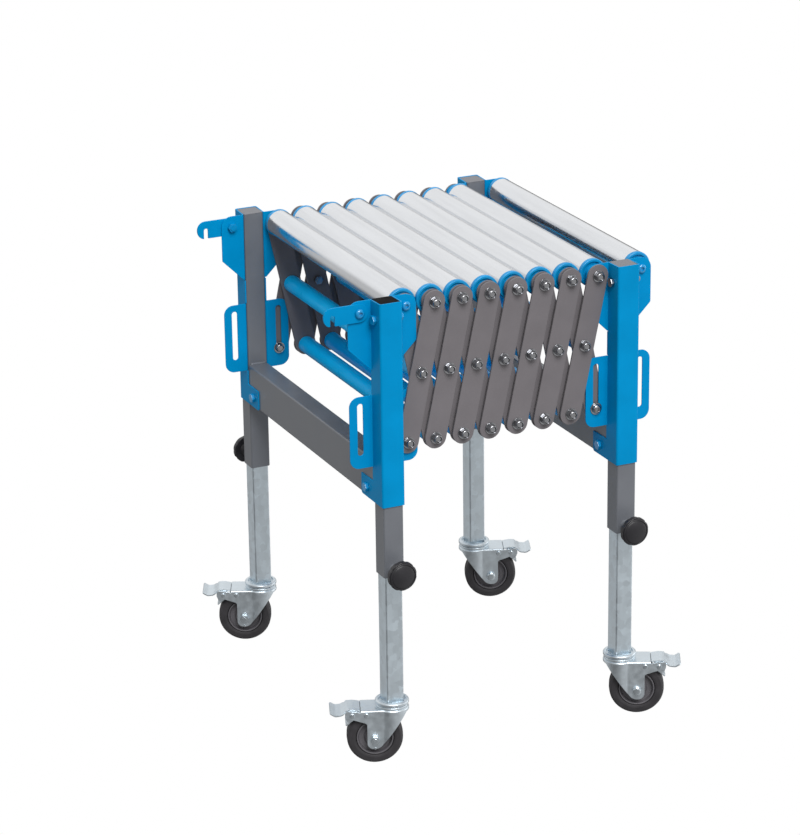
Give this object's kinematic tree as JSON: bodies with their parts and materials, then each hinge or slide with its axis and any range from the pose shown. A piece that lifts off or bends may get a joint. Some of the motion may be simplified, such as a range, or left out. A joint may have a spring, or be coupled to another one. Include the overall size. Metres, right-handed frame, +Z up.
{
  "type": "expandable roller conveyor",
  "caption": "Expandable roller conveyor: lazy-tongs links carry steel rollers between two end frames with telescopic legs on braked swivel casters and coupling hooks.",
  "frame": {"origin": "on the floor, midway between the two end frames and midway along the rollers", "axes": "+X along the conveyor, away from the hooks; +Y along the rollers, away from the viewer of the picture; +Z up"},
  "size_m": [0.5412, 0.5906, 0.6875],
  "materials": {
    "blue_sheet": "blue powder coat on bent sheet steel",
    "grey_tube": "grey powder coat on square tube",
    "grey_link": "warm grey powder coat on flat links",
    "roller_steel": "zinc-plated steel tube, satin",
    "zinc_leg": "galvanised square tube",
    "zinc_fixing": "bright zinc-plated fasteners",
    "zinc_pressing": "zinc-plated pressed sheet",
    "black_tyre": "matt dark tyre",
    "black_knob": "moulded black plastic"
  },
  "bodies": {
    "middle_axle": {"middle_axle": "zinc_fixing"},
    "left_frame": {"left_post_frame": "grey_tube", "left_near_channel": "blue_sheet", "left_far_channel": "blue_sheet", "left_frame_bolts": "zinc_fixing"},
    "right_frame": {"right_post_frame": "grey_tube", "right_near_channel": "blue_sheet", "right_far_channel": "blue_sheet", "right_frame_bolts": "zinc_fixing"},
    "inner_link_pair_1": {"inner_links_1": "grey_link"},
    "outer_link_pair_1": {"outer_links_1": "grey_link", "pivot_bolts_1": "zinc_fixing"},
    "inner_link_pair_2": {"inner_links_2": "grey_link"},
    "outer_link_pair_2": {"outer_links_2": "grey_link", "pivot_bolts_2": "zinc_fixing"},
    "inner_link_pair_3": {"inner_links_3": "grey_link"},
    "outer_link_pair_3": {"outer_links_3": "grey_link", "pivot_bolts_3": "zinc_fixing"},
    "inner_link_pair_4": {"inner_links_4": "grey_link"},
    "outer_link_pair_4": {"outer_links_4": "grey_link"},
    "inner_link_pair_5": {"inner_links_5": "grey_link"},
    "outer_link_pair_5": {"outer_links_5": "grey_link", "pivot_bolts_5": "zinc_fixing"},
    "inner_link_pair_6": {"inner_links_6": "grey_link"},
    "outer_link_pair_6": {"outer_links_6": "grey_link", "pivot_bolts_6": "zinc_fixing"},
    "inner_link_pair_7": {"inner_links_7": "grey_link"},
    "outer_link_pair_7": {"outer_links_7": "grey_link", "pivot_bolts_7": "zinc_fixing"},
    "leg_left_near": {"leg_left_near": "zinc_leg"},
    "leg_left_far": {"leg_left_far": "zinc_leg"},
    "leg_right_near": {"leg_right_near": "zinc_leg"},
    "leg_right_far": {"leg_right_far": "zinc_leg"},
    "hook_near": {"hook_near": "blue_sheet"},
    "hook_far": {"hook_far": "blue_sheet"},
    "brake_pedal_left_near": {"brake_pedal_left_near": "zinc_pressing"},
    "brake_pedal_left_far": {"brake_pedal_left_far": "zinc_pressing"},
    "brake_pedal_right_near": {"brake_pedal_right_near": "zinc_pressing"},
    "brake_pedal_right_far": {"brake_pedal_right_far": "zinc_pressing"},
    "clamp_knob_left_near": {"clamp_knob_left_near": "black_knob"},
    "clamp_knob_left_far": {"clamp_knob_left_far": "black_knob"},
    "clamp_knob_right_near": {"clamp_knob_right_near": "black_knob"},
    "clamp_knob_right_far": {"clamp_knob_right_far": "black_knob"},
    "caster_left_near": {"fork_left_near": "zinc_pressing"},
    "caster_left_far": {"fork_left_far": "zinc_pressing"},
    "caster_right_near": {"fork_right_near": "zinc_pressing"},
    "caster_right_far": {"fork_right_far": "zinc_pressing"},
    "wheel_left_near": {"wheel_left_near": "black_tyre"},
    "wheel_left_far": {"wheel_left_far": "black_tyre"},
    "wheel_right_near": {"wheel_right_near": "black_tyre"},
    "wheel_right_far": {"wheel_right_far": "black_tyre"},
    "roller_1": {"roller_1": "roller_steel"},
    "roller_2": {"roller_2": "roller_steel"},
    "roller_3": {"roller_3": "roller_steel"},
    "roller_4": {"roller_4": "roller_steel"},
    "roller_5": {"roller_5": "roller_steel"},
    "roller_6": {"roller_6": "roller_steel"},
    "roller_7": {"roller_7": "roller_steel"},
    "roller_8": {"roller_8": "roller_steel"},
    "roller_9": {"roller_9": "roller_steel"}
  },
  "joints": [
    {"name": "conveyor_extend", "type": "hinge", "parent": "middle_axle", "child": "outer_link_pair_4", "pos_m": [0.021, 0, 0.667], "axis": [0, 1, 0], "range_deg": [0, 35]},
    {"name": "cross_pivot_4", "type": "hinge", "parent": "outer_link_pair_4", "child": "inner_link_pair_4", "pos_m": [0, 0, 0.56851], "axis": [0, -1, 0], "range_deg": [0, 70]},
    {"name": "top_pivot_3", "type": "hinge", "parent": "inner_link_pair_4", "child": "outer_link_pair_3", "pos_m": [-0.021, 0, 0.667], "axis": [0, 1, 0], "range_deg": [0, 70]},
    {"name": "cross_pivot_3", "type": "hinge", "parent": "outer_link_pair_3", "child": "inner_link_pair_3", "pos_m": [-0.042, 0, 0.56851], "axis": [0, -1, 0], "range_deg": [0, 70]},
    {"name": "top_pivot_2", "type": "hinge", "parent": "inner_link_pair_3", "child": "outer_link_pair_2", "pos_m": [-0.063, 0, 0.667], "axis": [0, 1, 0], "range_deg": [0, 70]},
    {"name": "cross_pivot_2", "type": "hinge", "parent": "outer_link_pair_2", "child": "inner_link_pair_2", "pos_m": [-0.084, 0, 0.56851], "axis": [0, -1, 0], "range_deg": [0, 70]},
    {"name": "top_pivot_1", "type": "hinge", "parent": "inner_link_pair_2", "child": "outer_link_pair_1", "pos_m": [-0.105, 0, 0.667], "axis": [0, 1, 0], "range_deg": [0, 70]},
    {"name": "cross_pivot_1", "type": "hinge", "parent": "outer_link_pair_1", "child": "inner_link_pair_1", "pos_m": [-0.126, 0, 0.56851], "axis": [0, -1, 0], "range_deg": [0, 70]},
    {"name": "left_frame_pivot", "type": "hinge", "parent": "inner_link_pair_1", "child": "left_frame", "pos_m": [-0.147, 0, 0.667], "axis": [0, 1, 0], "range_deg": [0, 35]},
    {"name": "top_pivot_4", "type": "hinge", "parent": "middle_axle", "child": "inner_link_pair_5", "pos_m": [0.021, 0, 0.667], "axis": [0, -1, 0], "range_deg": [0, 35]},
    {"name": "cross_pivot_5", "type": "hinge", "parent": "inner_link_pair_5", "child": "outer_link_pair_5", "pos_m": [0.042, 0, 0.56851], "axis": [0, 1, 0], "range_deg": [0, 70]},
    {"name": "top_pivot_5", "type": "hinge", "parent": "outer_link_pair_5", "child": "inner_link_pair_6", "pos_m": [0.063, 0, 0.667], "axis": [0, -1, 0], "range_deg": [0, 70]},
    {"name": "cross_pivot_6", "type": "hinge", "parent": "inner_link_pair_6", "child": "outer_link_pair_6", "pos_m": [0.084, 0, 0.56851], "axis": [0, 1, 0], "range_deg": [0, 70]},
    {"name": "top_pivot_6", "type": "hinge", "parent": "outer_link_pair_6", "child": "inner_link_pair_7", "pos_m": [0.105, 0, 0.667], "axis": [0, -1, 0], "range_deg": [0, 70]},
    {"name": "cross_pivot_7", "type": "hinge", "parent": "inner_link_pair_7", "child": "outer_link_pair_7", "pos_m": [0.126, 0, 0.56851], "axis": [0, 1, 0], "range_deg": [0, 70]},
    {"name": "right_frame_pivot", "type": "hinge", "parent": "outer_link_pair_7", "child": "right_frame", "pos_m": [0.147, 0, 0.667], "axis": [0, -1, 0], "range_deg": [0, 35]},
    {"name": "leg_slide_left_near", "type": "slide", "parent": "left_frame", "child": "leg_left_near", "axis": [0, 0, -1], "range_m": [0, 0.3]},
    {"name": "leg_slide_left_far", "type": "slide", "parent": "left_frame", "child": "leg_left_far", "axis": [0, 0, -1], "range_m": [0, 0.3]},
    {"name": "leg_slide_right_near", "type": "slide", "parent": "right_frame", "child": "leg_right_near", "axis": [0, 0, -1], "range_m": [0, 0.3]},
    {"name": "leg_slide_right_far", "type": "slide", "parent": "right_frame", "child": "leg_right_far", "axis": [0, 0, -1], "range_m": [0, 0.3]},
    {"name": "hook_pivot_near", "type": "hinge", "parent": "left_frame", "child": "hook_near", "pos_m": [-0.217, -0.228, 0.667], "axis": [0, 1, 0], "range_deg": [-75, 90]},
    {"name": "hook_pivot_far", "type": "hinge", "parent": "left_frame", "child": "hook_far", "pos_m": [-0.217, 0.228, 0.667], "axis": [0, 1, 0], "range_deg": [-75, 90]},
    {"name": "brake_pedal_left_near", "type": "hinge", "parent": "caster_left_near", "child": "brake_pedal_left_near", "pos_m": [-0.23485, -0.21765, 0.078], "axis": [-0.3746, -0.9272, 0], "range_deg": [0, 11]},
    {"name": "brake_pedal_left_far", "type": "hinge", "parent": "caster_left_far", "child": "brake_pedal_left_far", "pos_m": [-0.23366, 0.26309, 0.078], "axis": [-0.4226, -0.9063, 0], "range_deg": [0, 11]},
    {"name": "brake_pedal_right_near", "type": "hinge", "parent": "caster_right_near", "child": "brake_pedal_right_near", "pos_m": [0.23279, -0.26488, 0.078], "axis": [0.454, 0.891, 0], "range_deg": [0, 11]},
    {"name": "brake_pedal_right_far", "type": "hinge", "parent": "caster_right_far", "child": "brake_pedal_right_far", "pos_m": [0.23485, 0.21765, 0.078], "axis": [0.3746, 0.9272, 0], "range_deg": [0, 11]},
    {"name": "clamp_knob_left_near", "type": "hinge", "parent": "left_frame", "child": "clamp_knob_left_near", "pos_m": [-0.182, -0.262, 0.296], "axis": [0, -1, 0], "range_deg": [0, 360]},
    {"name": "clamp_knob_left_far", "type": "hinge", "parent": "left_frame", "child": "clamp_knob_left_far", "pos_m": [-0.182, 0.262, 0.296], "axis": [0, 1, 0], "range_deg": [0, 360]},
    {"name": "clamp_knob_right_near", "type": "hinge", "parent": "right_frame", "child": "clamp_knob_right_near", "pos_m": [0.182, -0.262, 0.296], "axis": [0, -1, 0], "range_deg": [0, 360]},
    {"name": "clamp_knob_right_far", "type": "hinge", "parent": "right_frame", "child": "clamp_knob_right_far", "pos_m": [0.182, 0.262, 0.296], "axis": [0, 1, 0], "range_deg": [0, 360]},
    {"name": "caster_swivel_left_near", "type": "hinge", "parent": "leg_left_near", "child": "caster_left_near", "pos_m": [-0.182, -0.239, 0.086], "axis": [0, 0, 1], "continuous": true},
    {"name": "caster_swivel_left_far", "type": "hinge", "parent": "leg_left_far", "child": "caster_left_far", "pos_m": [-0.182, 0.239, 0.086], "axis": [0, 0, 1], "continuous": true},
    {"name": "caster_swivel_right_near", "type": "hinge", "parent": "leg_right_near", "child": "caster_right_near", "pos_m": [0.182, -0.239, 0.086], "axis": [0, 0, 1], "continuous": true},
    {"name": "caster_swivel_right_far", "type": "hinge", "parent": "leg_right_far", "child": "caster_right_far", "pos_m": [0.182, 0.239, 0.086], "axis": [0, 0, 1], "continuous": true},
    {"name": "wheel_spin_left_near", "type": "hinge", "parent": "caster_left_near", "child": "wheel_left_near", "pos_m": [-0.20518, -0.22964, 0.04], "axis": [0.3746, 0.9272, 0], "continuous": true},
    {"name": "wheel_spin_left_far", "type": "hinge", "parent": "caster_left_far", "child": "wheel_left_far", "pos_m": [-0.20466, 0.24957, 0.04], "axis": [0.4226, 0.9063, 0], "continuous": true},
    {"name": "wheel_spin_right_near", "type": "hinge", "parent": "caster_right_near", "child": "wheel_right_near", "pos_m": [0.20428, -0.25035, 0.04], "axis": [0.454, 0.891, 0], "continuous": true},
    {"name": "wheel_spin_right_far", "type": "hinge", "parent": "caster_right_far", "child": "wheel_right_far", "pos_m": [0.20518, 0.22964, 0.04], "axis": [0.3746, 0.9272, 0], "continuous": true},
    {"name": "roller_spin_1", "type": "hinge", "parent": "left_frame", "child": "roller_1", "pos_m": [-0.147, 0, 0.667], "axis": [0, 1, 0], "continuous": true},
    {"name": "roller_spin_2", "type": "hinge", "parent": "outer_link_pair_1", "child": "roller_2", "pos_m": [-0.105, 0, 0.667], "axis": [0, 1, 0], "continuous": true},
    {"name": "roller_spin_3", "type": "hinge", "parent": "outer_link_pair_2", "child": "roller_3", "pos_m": [-0.063, 0, 0.667], "axis": [0, 1, 0], "continuous": true},
    {"name": "roller_spin_4", "type": "hinge", "parent": "outer_link_pair_3", "child": "roller_4", "pos_m": [-0.021, 0, 0.667], "axis": [0, 1, 0], "continuous": true},
    {"name": "roller_spin_5", "type": "hinge", "parent": "middle_axle", "child": "roller_5", "pos_m": [0.021, 0, 0.667], "axis": [0, 1, 0], "continuous": true},
    {"name": "roller_spin_6", "type": "hinge", "parent": "outer_link_pair_5", "child": "roller_6", "pos_m": [0.063, 0, 0.667], "axis": [0, 1, 0], "continuous": true},
    {"name": "roller_spin_7", "type": "hinge", "parent": "outer_link_pair_6", "child": "roller_7", "pos_m": [0.105, 0, 0.667], "axis": [0, 1, 0], "continuous": true},
    {"name": "roller_spin_8", "type": "hinge", "parent": "outer_link_pair_7", "child": "roller_8", "pos_m": [0.147, 0, 0.667], "axis": [0, 1, 0], "continuous": true},
    {"name": "roller_spin_9", "type": "hinge", "parent": "right_frame", "child": "roller_9", "pos_m": [0.217, 0, 0.667], "axis": [0, 1, 0], "continuous": true}
  ],
  "couplings": [
    {"joint": "cross_pivot_4", "follows": "conveyor_extend", "ratio": 2},
    {"joint": "top_pivot_3", "follows": "conveyor_extend", "ratio": 2},
    {"joint": "cross_pivot_3", "follows": "conveyor_extend", "ratio": 2},
    {"joint": "top_pivot_2", "follows": "conveyor_extend", "ratio": 2},
    {"joint": "cross_pivot_2", "follows": "conveyor_extend", "ratio": 2},
    {"joint": "top_pivot_1", "follows": "conveyor_extend", "ratio": 2},
    {"joint": "cross_pivot_1", "follows": "conveyor_extend", "ratio": 2},
    {"joint": "left_frame_pivot", "follows": "conveyor_extend", "ratio": 1},
    {"joint": "top_pivot_4", "follows": "conveyor_extend", "ratio": 1},
    {"joint": "cross_pivot_5", "follows": "conveyor_extend", "ratio": 2},
    {"joint": "top_pivot_5", "follows": "conveyor_extend", "ratio": 2},
    {"joint": "cross_pivot_6", "follows": "conveyor_extend", "ratio": 2},
    {"joint": "top_pivot_6", "follows": "conveyor_extend", "ratio": 2},
    {"joint": "cross_pivot_7", "follows": "conveyor_extend", "ratio": 2},
    {"joint": "right_frame_pivot", "follows": "conveyor_extend", "ratio": 1}
  ]
}
